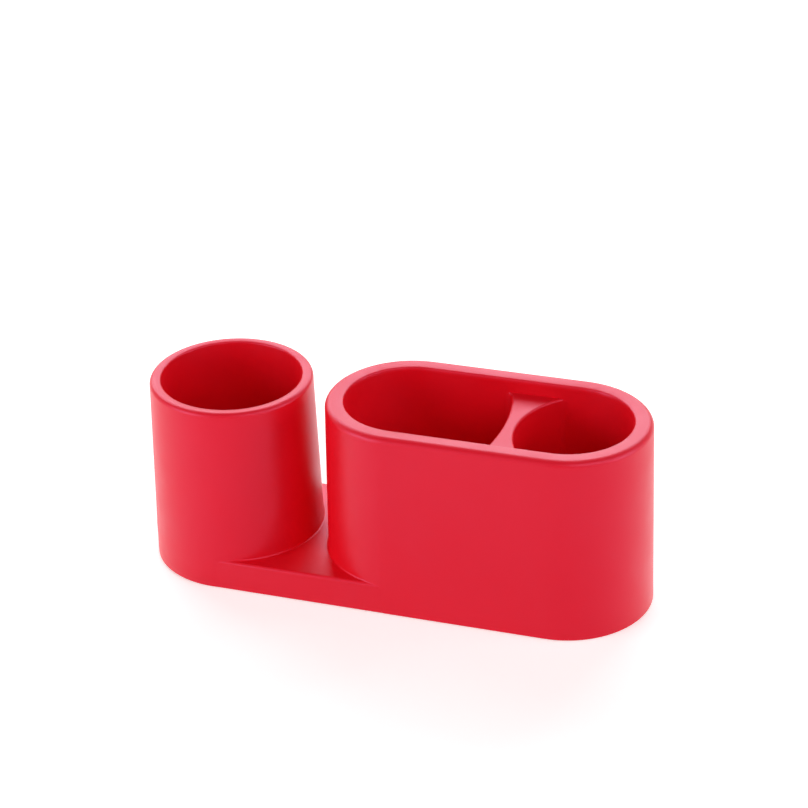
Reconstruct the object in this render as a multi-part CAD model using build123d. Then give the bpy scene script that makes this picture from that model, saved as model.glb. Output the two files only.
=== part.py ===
from build123d import *
import math
import os

# A desk organizer: a round pen cup and a long caddy with two compartments, joined by a low web.
# Frame: origin on the table under the middle of the footprint, +X from the cup to the caddy,
# -Y the long front side, +Z up.

# Footprint and height
foot_radius = 40.0
tower_gap = 6.4
shell_height = 91.6
skirt_draft = 0.95
cup_draft = 1.45

# Low web between cup and caddy
web_height = 15.1
web_thickness = 2.2
web_inset = 0.1
web_edge_round = 1.4
web_root_round = 0.9

# Skin of the shell
skin = 1.9
foot_edge_bevel = 0.5

# Pen cup, a liner moulded in one with the shell
cup_rim_width = 5.3
cup_rim_outer_round = 2.2
cup_rim_inner_bevel = 0.8
cup_liner = 1.8
cup_bore_draft = 1.0
cup_floor_height = 14.6
cup_floor = 2.0
cup_floor_bevel = 2.0
cup_rim_depth = 16.0

# Rim of the caddy
caddy_rim_width = 8.5
caddy_rim_thickness = 2.4
caddy_rim_outer_round = 3.0
caddy_rim_inner_bevel = 0.7

# Tray with the two compartments
flange_thickness = 2.2
flange_clearance = 0.3
tray_wall = 1.9
tray_floor = 2.0
pocket_floor_height = 16.6
left_pocket_length = 74.0
right_pocket_length = 53.3
pocket_draft = 1.0
pocket_floor_bevel = 2.0

# Divider between the compartments
divider_waist = 6.0
divider_drop = 7.0
divider_cap = 2.2
divider_edge_round = 1.2
left_bow_depth = 4.2
right_bow_depth = 13.8
left_corner_round = 5.0
right_corner_round = 6.0

# Base plate
plate_recess = 0.4
plate_thickness = 2.4
plate_clearance = 0.35
plate_lip_width = 1.6
plate_lip_height = 2.4

# Foot pads
pad_stand = 0.8
pad_diameter = 12.0
pad_thickness = 2.0
pad_clearance = 0.15
pad_edge_bevel = 0.4
pad_margin = 3.0
pad_end_angle = 45.0

# Screws and their bosses
screw_shank = 2.9
screw_length = 8.0
screw_head = 5.6
screw_head_height = 2.0
pilot_clearance = 0.05
pilot_spare = 0.6
boss_diameter = 7.0
well_clearance = 0.3
well_wall = 1.7
well_depth = 2.4
well_shelf = 2.0

# Ribs under the web
rib_thickness = 1.5
rib_gap = 0.3
rib_side_y = 24.0
rib_side_length = 17.0


def slope(angle):
    return math.tan(math.radians(angle))


# Heights above the table
foot = pad_stand
rim = foot + shell_height
web_top = foot + web_height
plate_bottom = foot + plate_recess
plate_top = plate_bottom + plate_thickness
head_seat = plate_bottom + well_depth
boss_seat = head_seat + well_shelf
cup_floor_top = foot + cup_floor_height
pocket_floor_top = foot + pocket_floor_height
divider_top = rim - divider_drop
divider_shoulder = divider_top - divider_edge_round
rim_underside = rim - caddy_rim_thickness
flange_bottom = rim_underside - flange_thickness

def skirt_radius(z):
    return foot_radius - (z - foot) * slope(skirt_draft)


def cup_radius(z):
    return skirt_radius(web_top) - (z - web_top) * slope(cup_draft)


def bore_radius(z):
    return cup_radius(rim) - cup_rim_width - (rim - z) * slope(cup_bore_draft)


def pocket_radius(z):
    return skirt_radius(rim) - caddy_rim_width - (rim - z) * slope(pocket_draft)


# Axes of the rounded ends, set so that the footprint is centred on the origin
mouth_radius = pocket_radius(divider_shoulder)
mouth_length = left_pocket_length + divider_waist + right_pocket_length
caddy_straight = mouth_length - 2 * mouth_radius
cup_to_caddy = 2 * foot_radius + tower_gap
cup_x = -(cup_to_caddy + caddy_straight) / 2
near_x = cup_x + cup_to_caddy
far_x = near_x + caddy_straight


def obround(x_start, x_end, radius):
    middle = (x_start + x_end) / 2
    return Pos(middle, 0, 0) * SlotCenterToCenter(x_end - x_start, 2 * radius)


def drafted_obround(x_start, x_end, radius, z_low, z_high, draft):
    # Radius is given at the lower face and a positive draft narrows it upwards
    outline = Pos(0, 0, z_low) * obround(x_start, x_end, radius)
    return extrude(outline, z_high - z_low, taper=draft)


def turned(x, points):
    # The seam of the turned face lies on the far side from the web
    section = Plane.XZ * make_face(Polyline(*[(-r, z) for r, z in points], close=True))
    return Pos(x, 0, 0) * revolve(section, Axis.Z)


def column(x, y, z_low, z_high, radius):
    upright = (Align.CENTER, Align.CENTER, Align.MIN)
    return Pos(x, y, z_low) * Cylinder(radius, z_high - z_low, align=upright)


def post(x, z_high):
    return column(x, 0, boss_seat, z_high, boss_diameter / 2)


def pilot(x):
    # Hole for the screw's thread, a little deeper than the screw reaches
    z_high = head_seat + screw_length + pilot_spare
    return column(x, 0, boss_seat, z_high, screw_shank / 2 + pilot_clearance)


# Outside of the shell: a tower at each end, joined by a web just inside their tangent lines
cup_tower = turned(
    cup_x,
    [
        (0, foot),
        (skirt_radius(foot), foot),
        (skirt_radius(web_top), web_top),
        (cup_radius(rim), rim),
        (0, rim),
    ],
)
caddy_tower = drafted_obround(
    near_x, far_x, skirt_radius(foot), foot, rim, skirt_draft
)
web_low_half = skirt_radius(foot) - web_inset
web_high_half = skirt_radius(web_top) - web_inset
web_section = make_face(
    Polyline(
        (-web_low_half, foot),
        (web_low_half, foot),
        (web_high_half, web_top),
        (-web_high_half, web_top),
        close=True,
    )
)
web = extrude(Plane.YZ.offset(cup_x) * web_section, near_x - cup_x)
web_edges = web.edges().filter_by(Axis.X).group_by(Axis.Z)
web = fillet(web_edges[-1], web_edge_round)
shell = cup_tower + caddy_tower + web
rim_split = (cup_x + near_x) / 2
root_edges = [
    edge
    for edge in shell.edges().filter_by(GeomType.CIRCLE)
    if abs(edge.center().Z - web_top) < 0.01 and cup_x + 1 < edge.center().X < near_x
]
shell = fillet(root_edges, web_root_round)
rim_edges = shell.edges().group_by(Axis.Z)[-1]
shell = fillet([e for e in rim_edges if e.center().X < rim_split], cup_rim_outer_round)
rim_edges = shell.edges().group_by(Axis.Z)[-1]
shell = fillet([e for e in rim_edges if e.center().X > rim_split], caddy_rim_outer_round)
shell = chamfer(shell.edges().group_by(Axis.Z)[0], foot_edge_bevel)

# Hollow under the web and inside the skirt
web_underside = web_top - web_thickness
shell -= drafted_obround(
    cup_x, far_x, foot_radius - skin, foot, web_underside, skirt_draft
)

# Hollow between the cup's skin and its liner, closed below the rim
cup_hollow_top = rim - cup_rim_depth
cup_hollow = turned(
    cup_x,
    [
        (0, foot),
        (foot_radius - skin, foot),
        (skirt_radius(web_top) - skin, web_top),
        (cup_radius(cup_hollow_top) - skin, cup_hollow_top),
        (0, cup_hollow_top),
    ],
)
cup_floor_bottom = cup_floor_top - cup_floor
cup_lining = turned(
    cup_x,
    [
        (0, cup_floor_bottom),
        (bore_radius(cup_floor_bottom) + cup_liner, cup_floor_bottom),
        (bore_radius(cup_hollow_top + 1) + cup_liner, cup_hollow_top + 1),
        (0, cup_hollow_top + 1),
    ],
)
shell -= cup_hollow - cup_lining
bore_low = cup_floor_top + cup_floor_bevel
bore_high = rim - cup_rim_inner_bevel
cup_bore = turned(
    cup_x,
    [
        (0, cup_floor_top),
        (bore_radius(cup_floor_top) - cup_floor_bevel, cup_floor_top),
        (bore_radius(bore_low), bore_low),
        (bore_radius(bore_high), bore_high),
        (bore_radius(rim) + cup_rim_inner_bevel, rim),
        (0, rim),
    ],
)
shell -= cup_bore

# Inside of the caddy: wide up to the underside of the rim, then the mouth
shell -= drafted_obround(
    near_x, far_x, foot_radius - skin, foot, rim_underside, skirt_draft
)
shell -= drafted_obround(
    near_x, far_x, pocket_radius(rim_underside), rim_underside, rim, -pocket_draft
)
mouth_reach = (pocket_radius(rim) + skirt_radius(rim) - caddy_rim_outer_round) / 2
mouth_edges = [
    edge
    for edge in shell.edges().group_by(Axis.Z)[-1]
    if edge.center().X > rim_split
    and edge.bounding_box().max.Y < mouth_reach
    and edge.bounding_box().min.Y > -mouth_reach
]
shell = chamfer(mouth_edges, caddy_rim_inner_bevel)

# Ribs that stiffen the web from below
rib_low = plate_top + plate_lip_height + rib_gap
rib_height = web_underside - rib_low
rib_middle = (cup_x + near_x) / 2
inner_half = skirt_radius(rib_low) - skin / 2
cross_rib = Pos(rib_middle, 0, rib_low) * Box(
    rib_thickness,
    2 * inner_half,
    rib_height + web_thickness / 2,
    align=(Align.CENTER, Align.CENTER, Align.MIN),
)
shell += cross_rib
for side in (-1, 1):
    shell += Pos(rib_middle, side * rib_side_y, rib_low) * Box(
        rib_side_length,
        rib_thickness,
        rib_height + web_thickness / 2,
        align=(Align.CENTER, Align.CENTER, Align.MIN),
    )


# Screw post under the cup floor
shell += post(cup_x, cup_floor_top - cup_floor / 2)
shell -= pilot(cup_x)

# Outlines of the two compartments, just under the rounded edges of the divider
divider_left = near_x - mouth_radius + left_pocket_length
divider_right = divider_left + divider_waist


def compartment(end_x, outer_x, face_x, bow_depth, corner_round):
    # A half round end, two straight sides and a bowed face towards the divider
    direction = math.copysign(1, end_x - face_x)
    corner_x = face_x + direction * bow_depth
    outline = make_face(
        [
            ThreePointArc((end_x, -mouth_radius), (outer_x, 0), (end_x, mouth_radius)),
            Line((end_x, mouth_radius), (corner_x, mouth_radius)),
            ThreePointArc((corner_x, mouth_radius), (face_x, 0), (corner_x, -mouth_radius)),
            Line((corner_x, -mouth_radius), (end_x, -mouth_radius)),
        ]
    )
    corners = [
        vertex
        for vertex in outline.vertices()
        if abs(vertex.X - corner_x) < abs(end_x - corner_x) / 2
    ]
    return fillet(corners, corner_round)


left_outline = compartment(
    near_x, near_x - mouth_radius, divider_left, left_bow_depth, left_corner_round
)
right_outline = compartment(
    far_x, far_x + mouth_radius, divider_right, right_bow_depth, right_corner_round
)

# Tray: a flange bonded under the rim and a band under it, with two drafted wells below
flange_radius = skirt_radius(rim_underside) - skin - flange_clearance
flange_outline = Pos(0, 0, flange_bottom) * obround(near_x, far_x, flange_radius)
tray = extrude(flange_outline, flange_thickness)
band_low = divider_top - divider_cap
tray += drafted_obround(
    near_x,
    far_x,
    pocket_radius(band_low) + tray_wall,
    band_low,
    rim_underside - flange_thickness / 2,
    -pocket_draft,
)
tray_floor_bottom = pocket_floor_top - tray_floor
for outline in (left_outline, right_outline):
    jacket = extrude(
        Pos(0, 0, divider_shoulder) * offset(outline, tray_wall),
        tray_floor_bottom - divider_shoulder,
        taper=pocket_draft,
    )
    tray += split(jacket, Plane.XY.offset(band_low), keep=Keep.BOTTOM)
tray -= drafted_obround(
    near_x, far_x, pocket_radius(divider_top), divider_top, rim, -pocket_draft
)
edge_zone = drafted_obround(
    near_x, far_x, mouth_radius, divider_shoulder, divider_top, -pocket_draft
)
for outline in (left_outline, right_outline):
    pocket = extrude(
        Pos(0, 0, divider_shoulder) * outline,
        pocket_floor_top - divider_shoulder,
        taper=pocket_draft,
    )
    pocket = chamfer(pocket.edges().group_by(Axis.Z)[0], pocket_floor_bevel)
    tray -= pocket
    # The divider's edge is rounded in two flared steps that end at the mouth's wall
    step = divider_edge_round * math.cos(math.radians(45))
    lower_flare = extrude(Pos(0, 0, divider_shoulder) * outline, step, taper=-22.5)
    upper_outline = lower_flare.faces().sort_by(Axis.Z)[-1]
    upper_flare = extrude(upper_outline, divider_edge_round - step, taper=-67.5)
    tray -= (lower_flare + upper_flare) & edge_zone

# Screw posts under the tray
for x in (near_x, far_x):
    tray += post(x, pocket_floor_top - tray_floor / 2)
    tray -= pilot(x)

# Base plate with a stiffening lip, screw wells and seats for the pads
lip_top = plate_top + plate_lip_height
plate_radius = skirt_radius(lip_top) - skin - plate_clearance
plate_outline = Pos(0, 0, plate_bottom) * obround(cup_x, far_x, plate_radius)
plate = extrude(plate_outline, plate_thickness + plate_lip_height)
tub_outline = Pos(0, 0, plate_top) * obround(
    cup_x, far_x, plate_radius - plate_lip_width
)
plate -= extrude(tub_outline, plate_lip_height)
screw_axes = (cup_x, near_x, far_x)
well_radius = screw_head / 2 + well_clearance
for x in screw_axes:
    plate += column(x, 0, plate_bottom, boss_seat, well_radius + well_wall)
    plate -= column(x, 0, plate_bottom, head_seat, well_radius)
    plate -= column(x, 0, head_seat, boss_seat, screw_shank / 2 + well_clearance)
pad_radius = plate_radius - pad_margin - pad_diameter / 2
pad_along = pad_radius * math.cos(math.radians(pad_end_angle))
pad_across = pad_radius * math.sin(math.radians(pad_end_angle))
pad_places = {
    "cup_front": (cup_x - pad_along, -pad_across),
    "cup_rear": (cup_x - pad_along, pad_across),
    "middle_front": ((cup_x + far_x) / 2, -pad_radius),
    "middle_rear": ((cup_x + far_x) / 2, pad_radius),
    "caddy_front": (far_x + pad_along, -pad_across),
    "caddy_rear": (far_x + pad_along, pad_across),
}
for x, y in pad_places.values():
    plate -= column(x, y, plate_bottom, pad_thickness, pad_diameter / 2 + pad_clearance)

# Screws: a flat head below and a plain shank above
screws = []
for x in screw_axes:
    head = column(x, 0, head_seat - screw_head_height, head_seat, screw_head / 2)
    shank = column(x, 0, head_seat, head_seat + screw_length, screw_shank / 2)
    screws.append(head + shank)

os.makedirs("parts", exist_ok=True)
export_step(shell, "parts/body_shell.step")
export_step(tray, "parts/caddy_tray.step")
export_step(plate, "parts/base_plate.step")
for name, (x, y) in pad_places.items():
    pad = column(x, y, 0, pad_thickness, pad_diameter / 2)
    pad = chamfer(pad.edges().group_by(Axis.Z)[0], pad_edge_bevel)
    export_step(pad, "parts/foot_pad_" + name + ".step")
export_step(Compound(children=screws), "parts/base_screws.step")
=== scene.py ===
import math

import bmesh
import bpy
from bpy.props import FloatProperty, FloatVectorProperty, PointerProperty
from mathutils import Matrix, Vector


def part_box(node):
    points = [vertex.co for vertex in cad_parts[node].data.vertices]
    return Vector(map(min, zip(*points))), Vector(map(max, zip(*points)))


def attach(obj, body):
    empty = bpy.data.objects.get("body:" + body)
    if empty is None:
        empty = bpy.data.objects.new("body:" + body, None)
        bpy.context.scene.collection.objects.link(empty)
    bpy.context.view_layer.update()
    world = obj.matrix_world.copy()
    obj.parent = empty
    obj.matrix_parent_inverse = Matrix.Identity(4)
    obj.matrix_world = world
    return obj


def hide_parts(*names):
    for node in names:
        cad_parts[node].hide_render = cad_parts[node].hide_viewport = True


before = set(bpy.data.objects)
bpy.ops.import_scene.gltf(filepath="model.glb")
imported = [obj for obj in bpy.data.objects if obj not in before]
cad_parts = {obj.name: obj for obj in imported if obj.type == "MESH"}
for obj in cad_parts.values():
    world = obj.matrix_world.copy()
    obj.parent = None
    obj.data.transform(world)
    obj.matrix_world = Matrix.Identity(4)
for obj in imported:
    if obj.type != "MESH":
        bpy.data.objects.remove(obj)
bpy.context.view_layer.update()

bl_info = {
    "name": "Desk Organizer",
    "version": (1, 0, 0),
    "blender": (4, 5, 0),
    "location": "View3D > Sidebar > Organizer",
    "description": "Builds the finished look of a moulded desk organizer",
    "category": "Add Mesh",
}

MM = 0.001
BODY = "root"
SMOOTHING = "Facet smoothing"
# Where the first screw is modelled, before its copies go to their places
AXIS = (0.0, 0.0)
# How close an edge has to be to the height and radius that are asked for
MATCH = 0.02 * MM
# Points closer than this are joined after a boolean
WELD = 0.005 * MM
# Loose facets of a CAD node are joined within this distance
FACET_WELD = 0.0005 * MM
# A face looks up or down when its normal's height passes this
FACING = 0.9


# Settings


class PlasticSettings(bpy.types.PropertyGroup):
    """Colours and finish of the moulded pieces"""

    shell_colour: FloatVectorProperty(
        name="Shell colour",
        description="Linear base colour of the shell and the tray",
        subtype="COLOR",
        size=3,
        default=(0.76, 0.002, 0.009),
        min=0.0,
        max=1.0,
    )
    gloss_tint: FloatVectorProperty(
        name="Gloss tint",
        description="Tint of the highlights on the shell and the tray",
        subtype="COLOR",
        size=3,
        default=(1.0, 0.54, 1.0),
        min=0.0,
        max=1.0,
    )
    plate_colour: FloatVectorProperty(
        name="Plate colour",
        description="Linear base colour of the base plate",
        subtype="COLOR",
        size=3,
        default=(0.5, 0.004, 0.014),
        min=0.0,
        max=1.0,
    )
    grain_size: FloatProperty(
        name="Grain size",
        description="Width of one cell of the moulded grain",
        subtype="DISTANCE",
        default=0.45 * MM,
        min=0.05 * MM,
    )
    grain_depth: FloatProperty(
        name="Grain depth",
        description="Depth of the moulded grain",
        subtype="DISTANCE",
        default=0.004 * MM,
        min=0.0,
    )
    smooth_angle: FloatProperty(
        name="Smooth angle",
        description="Edges sharper than this stay sharp",
        subtype="ANGLE",
        default=math.radians(50),
    )


class FootSettings(bpy.types.PropertyGroup):
    """Foot pads and screws under the base plate"""

    pad_edge: FloatProperty(
        name="Pad edge",
        description="Round on the lower edge of a foot pad",
        subtype="DISTANCE",
        default=0.6 * MM,
        min=0.0,
    )
    pad_ring: FloatProperty(
        name="Pad ring",
        description="Width of the ring on which a foot pad stands",
        subtype="DISTANCE",
        default=1.9 * MM,
        min=0.0,
    )
    pad_dish: FloatProperty(
        name="Pad dish",
        description="Depth of the dish within the ring",
        subtype="DISTANCE",
        default=0.45 * MM,
        min=0.0,
    )
    screw_places: FloatVectorProperty(
        name="Screw places",
        description="Places of the three screws along the base",
        subtype="TRANSLATION",
        size=3,
        default=(-80.0 * MM, 6.4 * MM, 80.0 * MM),
    )
    screw_turns: FloatVectorProperty(
        name="Screw turns",
        description="How far each screw's cross recess is turned",
        subtype="EULER",
        size=3,
        default=(math.radians(12), math.radians(51), math.radians(-27)),
    )
    core_radius: FloatProperty(
        name="Thread core",
        description="Radius of the shank under the thread",
        subtype="DISTANCE",
        default=1.05 * MM,
        min=0.1 * MM,
    )
    thread_pitch: FloatProperty(
        name="Thread pitch",
        description="Rise of the thread for each turn",
        subtype="DISTANCE",
        default=1.15 * MM,
        min=0.2 * MM,
    )
    recess_length: FloatProperty(
        name="Recess length",
        description="Length of each slot of the cross recess",
        subtype="DISTANCE",
        default=3.1 * MM,
        min=0.5 * MM,
    )
    recess_width: FloatProperty(
        name="Recess width",
        description="Width of each slot of the cross recess",
        subtype="DISTANCE",
        default=0.8 * MM,
        min=0.1 * MM,
    )
    recess_depth: FloatProperty(
        name="Recess depth",
        description="Depth of the cross recess",
        subtype="DISTANCE",
        default=1.3 * MM,
        min=0.1 * MM,
    )
    rubber_colour: FloatVectorProperty(
        name="Rubber colour",
        description="Linear base colour of the foot pads",
        subtype="COLOR",
        size=3,
        default=(0.018, 0.018, 0.02),
        min=0.0,
        max=1.0,
    )
    steel_colour: FloatVectorProperty(
        name="Steel colour",
        description="Linear base colour of the zinc-plated screws",
        subtype="COLOR",
        size=3,
        default=(0.56, 0.57, 0.6),
        min=0.0,
        max=1.0,
    )


class StageSettings(bpy.types.PropertyGroup):
    """Camera, floor and lamps"""

    azimuth: FloatProperty(
        name="Camera azimuth",
        description="Camera turned from the front towards the caddy end",
        subtype="ANGLE",
        default=math.radians(18.668),
    )
    elevation: FloatProperty(
        name="Camera elevation",
        description="Camera height as an angle above the table",
        subtype="ANGLE",
        default=math.radians(29.158),
    )
    roll: FloatProperty(
        name="Camera roll",
        description="Camera turned about its own view line",
        subtype="ANGLE",
        default=math.radians(-1.713),
    )
    distance: FloatProperty(
        name="Camera distance",
        description="From the camera to the point it looks at",
        subtype="DISTANCE",
        default=1260.1 * MM,
    )
    target: FloatVectorProperty(
        name="Camera target",
        description="Point that the camera looks at",
        subtype="TRANSLATION",
        size=3,
        default=(-25.48 * MM, 86.30 * MM, 38.30 * MM),
    )
    lens: FloatProperty(
        name="Lens",
        description="Focal length on a 36 mm sensor, in millimetres",
        subtype="DISTANCE_CAMERA",
        default=113.64,
        min=1.0,
    )
    floor_size: FloatProperty(
        name="Floor size",
        description="Length of the floor's side",
        subtype="DISTANCE",
        default=6.0,
    )
    room_light: FloatProperty(
        name="Room light",
        description="Strength of the even light from all sides",
        default=0.04,
        min=0.0,
    )
    floor_glow: FloatProperty(
        name="Floor glow",
        description="Light added to the floor where the camera sees it",
        default=0.5,
        min=0.0,
    )
    shadow_reach: FloatProperty(
        name="Shadow reach",
        description="Distance within which the floor shows the shadow in full",
        subtype="DISTANCE",
        default=0.4,
        min=0.1,
    )
    floor_reflection: FloatProperty(
        name="Floor reflection",
        description="Light added to the floor where the plastic reflects it",
        default=0.75,
        min=0.0,
    )
    lamp_distance: FloatProperty(
        name="Lamp distance",
        description="From each softbox to the part",
        subtype="DISTANCE",
        default=1.5,
    )
    lamp_width: FloatProperty(
        name="Lamp width",
        description="Width of each softbox",
        subtype="DISTANCE",
        default=1.0,
    )
    lamp_height: FloatProperty(
        name="Lamp height",
        description="Height of each softbox",
        subtype="DISTANCE",
        default=0.8,
    )


# Tools


def settings(context):
    scene = context.scene
    return scene.organizer_plastic, scene.organizer_feet, scene.organizer_stage


def deselect():
    if bpy.context.object and bpy.context.object.mode != "OBJECT":
        bpy.ops.object.mode_set(mode="OBJECT")
    bpy.ops.object.select_all(action="DESELECT")


def pick(piece):
    deselect()
    piece.select_set(True)
    bpy.context.view_layer.objects.active = piece


def apply_place(piece):
    pick(piece)
    bpy.ops.object.transform_apply(location=True, rotation=True, scale=True)


def edit(piece):
    pick(piece)
    bpy.ops.object.mode_set(mode="EDIT")


def near(a, b):
    return abs(a - b) < MATCH


def faces_up(normal):
    return normal.z > FACING


def faces_down(normal):
    return normal.z < -FACING


def select_faces(piece, test):
    """In edit mode, select only the faces whose normal passes the test"""
    bpy.ops.mesh.select_mode(type="FACE")
    bpy.ops.mesh.select_all(action="DESELECT")
    mesh = bmesh.from_edit_mesh(piece.data)
    mesh.normal_update()
    for face in mesh.faces:
        if test(face.normal):
            face.select_set(True)
    bmesh.update_edit_mesh(piece.data)


def select_ring(piece, height, radius, centre):
    """In edit mode, select only the edges that run round the centre"""
    bpy.ops.mesh.select_mode(type="EDGE")
    bpy.ops.mesh.select_all(action="DESELECT")
    mesh = bmesh.from_edit_mesh(piece.data)
    for edge in mesh.edges:
        start, end = (vertex.co for vertex in edge.verts)
        middle = (start + end) / 2
        across = math.hypot(middle.x - centre[0], middle.y - centre[1])
        level = near(middle.z, height) and near(start.z, end.z)
        if level and near(across, radius):
            edge.select_set(True)
    bmesh.update_edit_mesh(piece.data)


def bevel_selected(width, segments):
    bpy.ops.mesh.bevel(
        offset_type="OFFSET", offset=width, segments=segments, affect="EDGES"
    )


def add_cylinder(name, radius, low, high, centre, sides):
    deselect()
    bpy.ops.mesh.primitive_cylinder_add(
        vertices=sides,
        radius=radius,
        depth=high - low,
        location=(centre[0], centre[1], (low + high) / 2),
    )
    piece = bpy.context.object
    piece.name = name
    piece.data.name = name
    apply_place(piece)
    return piece


def apply_modifiers(piece):
    pick(piece)
    for modifier in list(piece.modifiers):
        bpy.ops.object.modifier_apply(modifier=modifier.name)


def combine(piece, other, operation):
    """Boolean with another piece, which is used up"""
    cut = piece.modifiers.new("Combine", "BOOLEAN")
    cut.operation = operation
    cut.solver = "EXACT"
    cut.object = other
    apply_modifiers(piece)
    bpy.data.objects.remove(other)
    edit(piece)
    bpy.ops.mesh.select_all(action="SELECT")
    bpy.ops.mesh.remove_doubles(threshold=WELD)
    bpy.ops.mesh.dissolve_degenerate(threshold=WELD)
    bpy.ops.object.mode_set(mode="OBJECT")


def even_shading(piece):
    """Let the large faces set the shading of the rounds beside them"""
    even = piece.modifiers.new("Even shading", "WEIGHTED_NORMAL")
    even.keep_sharp = True


def round_off(piece, angle):
    """Smooth shading below the angle"""
    pick(piece)
    bpy.ops.object.shade_smooth_by_angle(angle=angle)
    even_shading(piece)
    apply_modifiers(piece)


def finish_piece(piece, node, finish):
    piece.data.materials.clear()
    piece.data.materials.append(finish)
    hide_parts(node)
    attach(piece, BODY)


def facet_smoothing(angle):
    """Geometry nodes that join loose facets and sharpen edges above the angle"""
    group = bpy.data.node_groups.new(SMOOTHING, "GeometryNodeTree")
    for way in ("INPUT", "OUTPUT"):
        group.interface.new_socket(
            "Geometry", in_out=way, socket_type="NodeSocketGeometry"
        )
    entry = group.nodes.new("NodeGroupInput")
    leave = group.nodes.new("NodeGroupOutput")
    join = group.nodes.new("GeometryNodeMergeByDistance")
    join.inputs["Distance"].default_value = FACET_WELD
    smooth = group.nodes.new("GeometryNodeSetShadeSmooth")
    smooth.domain = "FACE"
    sharp = group.nodes.new("GeometryNodeSetShadeSmooth")
    sharp.domain = "EDGE"
    sharp.inputs["Shade Smooth"].default_value = False
    fold = group.nodes.new("GeometryNodeInputMeshEdgeAngle")
    steep = group.nodes.new("FunctionNodeCompare")
    steep.operation = "GREATER_THAN"
    steep.inputs["B"].default_value = angle
    links = group.links
    links.new(fold.outputs["Unsigned Angle"], steep.inputs["A"])
    links.new(steep.outputs["Result"], sharp.inputs["Selection"])
    chain = (entry, join, smooth, sharp, leave)
    for before, after in zip(chain, chain[1:]):
        links.new(before.outputs["Geometry"], after.inputs["Geometry"])


def dress(node, finish):
    """Give a CAD node its material, and smooth shading by modifiers"""
    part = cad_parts[node]
    for slot in part.material_slots:
        slot.material = finish
    joined = part.modifiers.new(SMOOTHING, "NODES")
    joined.node_group = bpy.data.node_groups[SMOOTHING]
    even_shading(part)


# Materials


def new_group(name, inputs, outputs):
    group = bpy.data.node_groups.new(name, "ShaderNodeTree")
    for label, kind, default in inputs:
        socket = group.interface.new_socket(label, in_out="INPUT", socket_type=kind)
        socket.default_value = default
    for label, kind in outputs:
        group.interface.new_socket(label, in_out="OUTPUT", socket_type=kind)
    entry = group.nodes.new("NodeGroupInput")
    leave = group.nodes.new("NodeGroupOutput")
    return group, entry, leave


def math_node(tree, operation, a, b):
    node = tree.nodes.new("ShaderNodeMath")
    node.operation = operation
    for socket, value in zip(node.inputs, (a, b)):
        if isinstance(value, bpy.types.NodeSocket):
            tree.links.new(value, socket)
        else:
            socket.default_value = value
    return node.outputs[0]


def noise_node(tree, vector, scale, detail, roughness):
    node = tree.nodes.new("ShaderNodeTexNoise")
    node.inputs["Scale"].default_value = scale
    node.inputs["Detail"].default_value = detail
    node.inputs["Roughness"].default_value = roughness
    tree.links.new(vector, node.inputs["Vector"])
    return node.outputs["Fac"]


def moulded_plastic_group():
    """Colour drift, handling marks and fine moulded grain on Object coordinates"""
    group, entry, leave = new_group(
        "Moulded plastic",
        (
            ("Colour", "NodeSocketColor", (0.8, 0.8, 0.8, 1.0)),
            ("Colour drift", "NodeSocketFloat", 0.06),
            ("Roughness low", "NodeSocketFloat", 0.3),
            ("Roughness high", "NodeSocketFloat", 0.42),
            ("Grain scale", "NodeSocketFloat", 2200.0),
        ),
        (
            ("Colour", "NodeSocketColor"),
            ("Roughness", "NodeSocketFloat"),
            ("Grain", "NodeSocketFloat"),
        ),
    )
    links = group.links
    coordinates = group.nodes.new("ShaderNodeTexCoord").outputs["Object"]

    drift = noise_node(group, coordinates, scale=14.0, detail=3.0, roughness=0.5)
    centred = math_node(group, "SUBTRACT", drift, 0.5)
    shift = math_node(group, "MULTIPLY", centred, entry.outputs["Colour drift"])
    value = math_node(group, "ADD", shift, 1.0)
    tint = group.nodes.new("ShaderNodeHueSaturation")
    links.new(value, tint.inputs["Value"])
    links.new(entry.outputs["Colour"], tint.inputs["Color"])
    links.new(tint.outputs["Color"], leave.inputs["Colour"])

    marks = noise_node(group, coordinates, scale=45.0, detail=5.0, roughness=0.6)
    spread = group.nodes.new("ShaderNodeMapRange")
    spread.inputs["From Min"].default_value = 0.3
    spread.inputs["From Max"].default_value = 0.7
    links.new(marks, spread.inputs["Value"])
    links.new(entry.outputs["Roughness low"], spread.inputs["To Min"])
    links.new(entry.outputs["Roughness high"], spread.inputs["To Max"])
    links.new(spread.outputs["Result"], leave.inputs["Roughness"])

    cells = group.nodes.new("ShaderNodeTexVoronoi")
    cells.feature = "SMOOTH_F1"
    cells.inputs["Smoothness"].default_value = 0.6
    links.new(coordinates, cells.inputs["Vector"])
    links.new(entry.outputs["Grain scale"], cells.inputs["Scale"])
    links.new(cells.outputs["Distance"], leave.inputs["Grain"])
    return group


def principled(material):
    return next(n for n in material.node_tree.nodes if n.type == "BSDF_PRINCIPLED")


def grained_material(name, group, colour, roughness, grain, drift):
    """Material with a range of roughness, and a grain of one width and depth"""
    material = bpy.data.materials.new(name)
    material.use_nodes = True
    material.diffuse_color = (*colour, 1.0)
    tree = material.node_tree
    shader = principled(material)
    surface = tree.nodes.new("ShaderNodeGroup")
    surface.node_tree = group
    width, depth = grain
    values = {
        "Colour": (*colour, 1.0),
        "Colour drift": drift,
        "Roughness low": roughness[0],
        "Roughness high": roughness[1],
        "Grain scale": 1.0 / width,
    }
    for label, value in values.items():
        surface.inputs[label].default_value = value
    bump = tree.nodes.new("ShaderNodeBump")
    bump.inputs["Distance"].default_value = depth
    tree.links.new(surface.outputs["Grain"], bump.inputs["Height"])
    tree.links.new(surface.outputs["Colour"], shader.inputs["Base Color"])
    tree.links.new(surface.outputs["Roughness"], shader.inputs["Roughness"])
    tree.links.new(bump.outputs["Normal"], shader.inputs["Normal"])
    return material


# Filled by the first step, for the others to take their material from
MATERIALS = {}


# Operators


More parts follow.
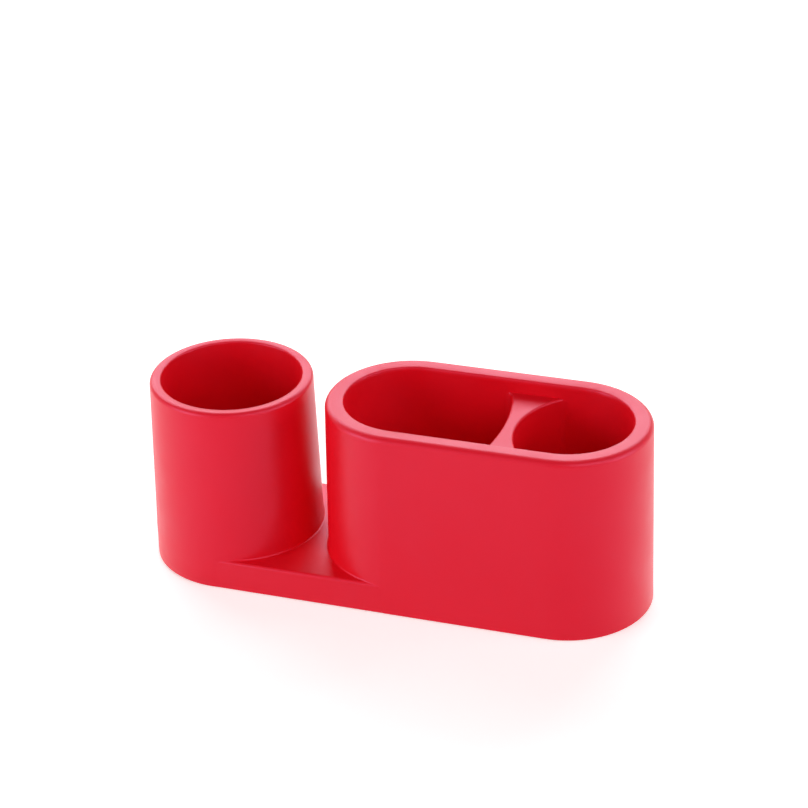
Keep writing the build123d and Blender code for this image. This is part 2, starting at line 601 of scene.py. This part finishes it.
class ORGANIZER_OT_finishes(bpy.types.Operator):
    """Make the node groups and the materials of all the pieces"""

    bl_idname = "organizer.finishes"
    bl_label = "Finishes"

    def execute(self, context):
        plastic, feet, _ = settings(context)
        facet_smoothing(plastic.smooth_angle)
        group = moulded_plastic_group()
        moulded_grain = (plastic.grain_size, plastic.grain_depth)
        MATERIALS["shell"] = grained_material(
            "Red shell plastic",
            group,
            plastic.shell_colour,
            roughness=(0.36, 0.44),
            grain=moulded_grain,
            drift=0.06,
        )
        MATERIALS["tray"] = grained_material(
            "Red tray plastic",
            group,
            plastic.shell_colour,
            roughness=(0.38, 0.46),
            grain=moulded_grain,
            drift=0.06,
        )
        for name in ("shell", "tray"):
            shader = principled(MATERIALS[name])
            shader.inputs["Specular Tint"].default_value = (*plastic.gloss_tint, 1.0)
        MATERIALS["plate"] = grained_material(
            "Matte plate plastic",
            group,
            plastic.plate_colour,
            roughness=(0.55, 0.68),
            grain=moulded_grain,
            drift=0.1,
        )
        MATERIALS["pad"] = grained_material(
            "Foot rubber",
            group,
            feet.rubber_colour,
            roughness=(0.7, 0.85),
            grain=(0.6 * MM, 0.02 * MM),
            drift=0.3,
        )
        MATERIALS["screw"] = grained_material(
            "Zinc-plated steel",
            group,
            feet.steel_colour,
            roughness=(0.25, 0.42),
            grain=(0.3 * MM, 0.002 * MM),
            drift=0.06,
        )
        principled(MATERIALS["screw"]).inputs["Metallic"].default_value = 1.0
        return {"FINISHED"}


class ORGANIZER_OT_shell(bpy.types.Operator):
    """Finish the shell with the pen cup, the caddy's outside and the web"""

    bl_idname = "organizer.shell"
    bl_label = "Shell"

    def execute(self, context):
        dress("body_shell", MATERIALS["shell"])
        return {"FINISHED"}


class ORGANIZER_OT_tray(bpy.types.Operator):
    """Finish the tray with its two compartments"""

    bl_idname = "organizer.tray"
    bl_label = "Tray"

    def execute(self, context):
        dress("caddy_tray", MATERIALS["tray"])
        return {"FINISHED"}


class ORGANIZER_OT_base(bpy.types.Operator):
    """Finish the base plate"""

    bl_idname = "organizer.base"
    bl_label = "Base plate"

    def execute(self, context):
        dress("base_plate", MATERIALS["plate"])
        return {"FINISHED"}


class ORGANIZER_OT_pads(bpy.types.Operator):
    """Model one rubber foot pad and copy it to each recess of the base plate"""

    bl_idname = "organizer.pads"
    bl_label = "Foot pads"

    sides = 64
    edge_steps = 4
    # The ring's inner edge and the pad's top edge are this many times finer
    fineness = 3
    fine_steps = 2

    def execute(self, context):
        plastic, feet, _ = settings(context)
        nodes = sorted(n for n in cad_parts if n.startswith("foot_pad_"))
        if not nodes:
            raise RuntimeError("The frame has no foot pads")
        pad = self.model(feet, *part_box(nodes[0]))
        round_off(pad, plastic.smooth_angle)
        first = self.middle(nodes[0])
        for node in nodes[1:]:
            pick(pad)
            bpy.ops.object.duplicate(linked=False)
            copy = context.object
            copy.location = self.middle(node) - first
            self.finish(copy, node)
        self.finish(pad, nodes[0])
        return {"FINISHED"}

    def model(self, feet, low, high):
        centre = ((low[0] + high[0]) / 2, (low[1] + high[1]) / 2)
        radius = (high[0] - low[0]) / 2
        pad = add_cylinder("pad", radius, low[2], high[2], centre, self.sides)
        edit(pad)
        select_faces(pad, faces_down)
        bpy.ops.mesh.inset(thickness=feet.pad_ring, depth=0.0)
        bpy.ops.mesh.inset(thickness=feet.pad_dish, depth=-feet.pad_dish)
        select_ring(pad, low[2], radius, centre)
        bevel_selected(feet.pad_edge, self.edge_steps)
        select_ring(pad, low[2], radius - feet.pad_ring, centre)
        bevel_selected(feet.pad_dish / self.fineness, self.fine_steps)
        select_ring(pad, high[2], radius, centre)
        bevel_selected(feet.pad_edge / self.fineness, self.fine_steps)
        bpy.ops.object.mode_set(mode="OBJECT")
        return pad

    def middle(self, node):
        low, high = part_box(node)
        return (Vector(low) + Vector(high)) / 2

    def finish(self, pad, node):
        pad.name = node.replace("foot_pad_", "pad_")
        pad.data.name = pad.name
        apply_place(pad)
        finish_piece(pad, node, MATERIALS["pad"])


class ORGANIZER_OT_screws(bpy.types.Operator):
    """Model one pan-head screw with a cross recess and copy it to each post"""

    bl_idname = "organizer.screws"
    bl_label = "Screws"

    sides = 48
    head_radius = 2.8 * MM
    head_height = 2.0 * MM
    crown = 1.0 * MM
    crown_steps = 5
    seat_edge = 0.12 * MM
    tip_edge = 0.35 * MM
    tip_steps = 2
    # Width of the recess at its bottom as a part of its width at the top
    recess_taper = 0.55
    thread_radius = 1.45 * MM
    thread_half = 0.32 * MM
    # The thread's root lies this deep in the shank
    thread_root = 0.15 * MM
    thread_steps = 24

    def execute(self, context):
        plastic, feet, _ = settings(context)
        low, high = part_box("base_screws")
        screw = self.shank_and_head(feet, low[2], high[2])
        combine(screw, self.recess_cutter(feet, low[2]), "DIFFERENCE")
        combine(screw, self.thread(feet, low[2], high[2]), "UNION")
        round_off(screw, plastic.smooth_angle)
        names = ("screw_cup", "screw_middle", "screw_caddy")
        for name, place, turn in zip(names, feet.screw_places, feet.screw_turns):
            pick(screw)
            bpy.ops.object.duplicate(linked=False)
            copy = context.object
            copy.name = name
            copy.data.name = name
            copy.rotation_euler.z = turn
            copy.location.x = place
            apply_place(copy)
            finish_piece(copy, "base_screws", MATERIALS["screw"])
        bpy.data.objects.remove(screw)
        return {"FINISHED"}

    def shank_and_head(self, feet, low, high):
        seat = low + self.head_height
        screw = add_cylinder("screw", self.head_radius, low, seat, AXIS, self.sides)
        edit(screw)
        select_ring(screw, low, self.head_radius, AXIS)
        bevel_selected(self.crown, self.crown_steps)
        select_ring(screw, seat, self.head_radius, AXIS)
        bevel_selected(self.seat_edge, 1)
        select_faces(screw, faces_up)
        rim = self.head_radius - self.seat_edge
        bpy.ops.mesh.inset(thickness=rim - feet.core_radius, depth=0.0)
        bpy.ops.mesh.extrude_region_move(
            TRANSFORM_OT_translate={"value": (0.0, 0.0, high - seat)}
        )
        select_ring(screw, high, feet.core_radius, AXIS)
        bevel_selected(self.tip_edge, self.tip_steps)
        bpy.ops.object.mode_set(mode="OBJECT")
        return screw

    def recess_cutter(self, feet, low):
        """Two crossed slots that narrow towards their bottom"""
        depth = feet.recess_depth
        slots = []
        for turn in (0.0, math.pi / 2):
            deselect()
            bpy.ops.mesh.primitive_cube_add(size=1.0)
            slot = bpy.context.object
            slot.scale = (feet.recess_length, feet.recess_width, depth * 2)
            slot.rotation_euler.z = turn
            slot.location.z = low
            apply_place(slot)
            edit(slot)
            select_faces(slot, faces_up)
            bpy.ops.transform.resize(
                value=(self.recess_taper, self.recess_taper, 1.0),
                center_override=(0.0, 0.0, low + depth),
            )
            bpy.ops.object.mode_set(mode="OBJECT")
            slots.append(slot)
        combine(slots[0], slots[1], "UNION")
        return slots[0]

    def thread(self, feet, low, high):
        """Triangle profile carried round the shank by the Screw modifier"""
        start = low + self.head_height + feet.thread_pitch
        turns = int((high - start) / feet.thread_pitch) - 1
        deselect()
        bpy.ops.mesh.primitive_circle_add(
            vertices=3, radius=self.thread_radius, fill_type="NOTHING"
        )
        profile = bpy.context.object
        root = feet.core_radius - self.thread_root
        corners = (
            (self.thread_radius, 0.0, start),
            (root, 0.0, start + self.thread_half),
            (root, 0.0, start - self.thread_half),
        )
        for vertex, place in zip(profile.data.vertices, corners):
            vertex.co = place
        screw = profile.modifiers.new("Thread", "SCREW")
        screw.axis = "Z"
        screw.angle = 2 * math.pi
        screw.screw_offset = feet.thread_pitch
        screw.iterations = turns
        screw.steps = self.thread_steps
        screw.render_steps = self.thread_steps
        apply_modifiers(profile)
        edit(profile)
        bpy.ops.mesh.select_all(action="SELECT")
        bpy.ops.mesh.fill_holes(sides=0)
        bpy.ops.mesh.normals_make_consistent(inside=False)
        bpy.ops.object.mode_set(mode="OBJECT")
        return profile


def seen_light(tree, seen, reflected):
    """Strength for rays from the camera and from glossy reflections, else 0"""
    path = tree.nodes.new("ShaderNodeLightPath")
    straight = math_node(tree, "MULTIPLY", path.outputs["Is Camera Ray"], seen)
    mirrored = math_node(tree, "MULTIPLY", path.outputs["Is Glossy Ray"], reflected)
    return math_node(tree, "ADD", straight, mirrored)


def direction(azimuth, elevation):
    """Unit vector turned from +X about Z and raised above the table"""
    return Vector(
        (
            math.cos(azimuth) * math.cos(elevation),
            math.sin(azimuth) * math.cos(elevation),
            math.sin(elevation),
        )
    )


class ORGANIZER_OT_stage(bpy.types.Operator):
    """Place the camera, the floor and the lamps"""

    bl_idname = "organizer.stage"
    bl_label = "Stage"

    sensor_width = 36.0
    nearest = 0.05
    farthest = 20.0
    floor_colour = (0.9, 0.9, 0.9, 1.0)
    floor_roughness = 0.8
    floor_gloss = 0.1
    # The floor is plain white at this many times the shadow's reach
    white_from = 3
    lamp_aim = 50 * MM
    # Name, watts, azimuth and elevation in degrees of each softbox
    softboxes = (
        ("back_softbox", 10.7, 90, 34),
        ("back_left_softbox", 10.9, 135, 34),
        ("left_softbox", 12.8, -135, 14),
        ("right_softbox", 7.9, 0, 14),
        ("front_softbox", 6.3, -45, 34),
    )

    def execute(self, context):
        _, _, stage = settings(context)
        scene = context.scene
        self.camera(scene, stage)
        self.floor(stage)
        self.world(scene, stage)
        self.lamps(scene, stage)
        scene.view_settings.view_transform = "Standard"
        return {"FINISHED"}

    def camera(self, scene, stage):
        back = direction(stage.azimuth - math.pi / 2, stage.elevation)
        right = (-back).cross(Vector((0, 0, 1))).normalized()
        up = right.cross(-back)
        roll = stage.roll
        turned_right = right * math.cos(roll) + up * math.sin(roll)
        turned_up = -right * math.sin(roll) + up * math.cos(roll)
        data = bpy.data.cameras.new("photo_view")
        data.sensor_width = self.sensor_width
        data.lens = stage.lens
        data.clip_start = self.nearest
        data.clip_end = self.farthest
        camera = bpy.data.objects.new("photo_view", data)
        scene.collection.objects.link(camera)
        place = Vector(stage.target) + back * stage.distance
        columns = Matrix((turned_right, turned_up, back)).transposed()
        camera.matrix_world = Matrix.Translation(place) @ columns.to_4x4()
        scene.camera = camera

    def floor(self, stage):
        deselect()
        bpy.ops.mesh.primitive_plane_add(size=stage.floor_size, location=(0, 0, 0))
        floor = bpy.context.object
        floor.name = "studio_floor"
        white = bpy.data.materials.new("White floor")
        white.use_nodes = True
        tree = white.node_tree
        shader = principled(white)
        shader.inputs["Base Color"].default_value = self.floor_colour
        shader.inputs["Roughness"].default_value = self.floor_roughness
        shader.inputs["Specular IOR Level"].default_value = self.floor_gloss
        place = tree.nodes.new("ShaderNodeTexCoord").outputs["Object"]
        away = tree.nodes.new("ShaderNodeVectorMath")
        away.operation = "LENGTH"
        tree.links.new(place, away.inputs[0])
        rise = tree.nodes.new("ShaderNodeMapRange")
        rise.inputs["From Min"].default_value = stage.shadow_reach
        rise.inputs["From Max"].default_value = stage.shadow_reach * self.white_from
        rise.inputs["To Min"].default_value = stage.floor_glow
        rise.inputs["To Max"].default_value = 1.0
        tree.links.new(away.outputs["Value"], rise.inputs["Value"])
        strength = seen_light(tree, rise.outputs["Result"], stage.floor_reflection)
        glow = tree.nodes.new("ShaderNodeEmission")
        tree.links.new(strength, glow.inputs["Strength"])
        add = tree.nodes.new("ShaderNodeAddShader")
        output = next(n for n in tree.nodes if n.type == "OUTPUT_MATERIAL")
        tree.links.new(shader.outputs[0], add.inputs[0])
        tree.links.new(glow.outputs[0], add.inputs[1])
        tree.links.new(add.outputs[0], output.inputs["Surface"])
        floor.data.materials.append(white)

    def world(self, scene, stage):
        world = bpy.data.worlds.new("White room")
        scene.world = world
        world.use_nodes = True
        tree = world.node_tree
        sky = next(n for n in tree.nodes if n.type == "BACKGROUND")
        sky.inputs["Color"].default_value = (1.0, 1.0, 1.0, 1.0)
        white = 1.0 - stage.room_light
        extra = seen_light(tree, white, white)
        total = math_node(tree, "ADD", extra, stage.room_light)
        tree.links.new(total, sky.inputs["Strength"])

    def lamps(self, scene, stage):
        aim = Vector((0.0, 0.0, self.lamp_aim))
        for name, watts, azimuth, elevation in self.softboxes:
            data = bpy.data.lights.new(name, "AREA")
            data.shape = "RECTANGLE"
            data.size = stage.lamp_width
            data.size_y = stage.lamp_height
            data.energy = watts
            lamp = bpy.data.objects.new(name, data)
            scene.collection.objects.link(lamp)
            away = direction(math.radians(azimuth), math.radians(elevation))
            lamp.location = aim + away * stage.lamp_distance
            lamp.rotation_euler = (-away).to_track_quat("-Z", "Y").to_euler()


# Panel


STEPS = (
    ORGANIZER_OT_finishes,
    ORGANIZER_OT_shell,
    ORGANIZER_OT_tray,
    ORGANIZER_OT_base,
    ORGANIZER_OT_pads,
    ORGANIZER_OT_screws,
    ORGANIZER_OT_stage,
)


class ORGANIZER_PT_panel(bpy.types.Panel):
    """Lists the steps in the order in which they run"""

    bl_label = "Desk Organizer"
    bl_idname = "ORGANIZER_PT_panel"
    bl_space_type = "VIEW_3D"
    bl_region_type = "UI"
    bl_category = "Organizer"

    def draw(self, context):
        for group in settings(context):
            box = self.layout.box()
            for name in group.bl_rna.properties.keys():
                if name not in ("rna_type", "name"):
                    box.prop(group, name)
        for step in STEPS:
            self.layout.operator(step.bl_idname)


GROUPS = (
    (PlasticSettings, "organizer_plastic"),
    (FootSettings, "organizer_feet"),
    (StageSettings, "organizer_stage"),
)


def register():
    for group, name in GROUPS:
        bpy.utils.register_class(group)
        setattr(bpy.types.Scene, name, PointerProperty(type=group))
    for step in STEPS:
        bpy.utils.register_class(step)
    bpy.utils.register_class(ORGANIZER_PT_panel)


def unregister():
    bpy.utils.unregister_class(ORGANIZER_PT_panel)
    for step in reversed(STEPS):
        bpy.utils.unregister_class(step)
    for group, name in reversed(GROUPS):
        delattr(bpy.types.Scene, name)
        bpy.utils.unregister_class(group)


def corners(box):
    return [list(corner) for corner in box]


def main():
    register()
    bpy.ops.organizer.finishes()
    bpy.ops.organizer.shell()
    bpy.ops.organizer.tray()
    bpy.ops.organizer.base()
    bpy.ops.organizer.pads()
    bpy.ops.organizer.screws()
    bpy.ops.organizer.stage()


if __name__ == "__main__":
    main()
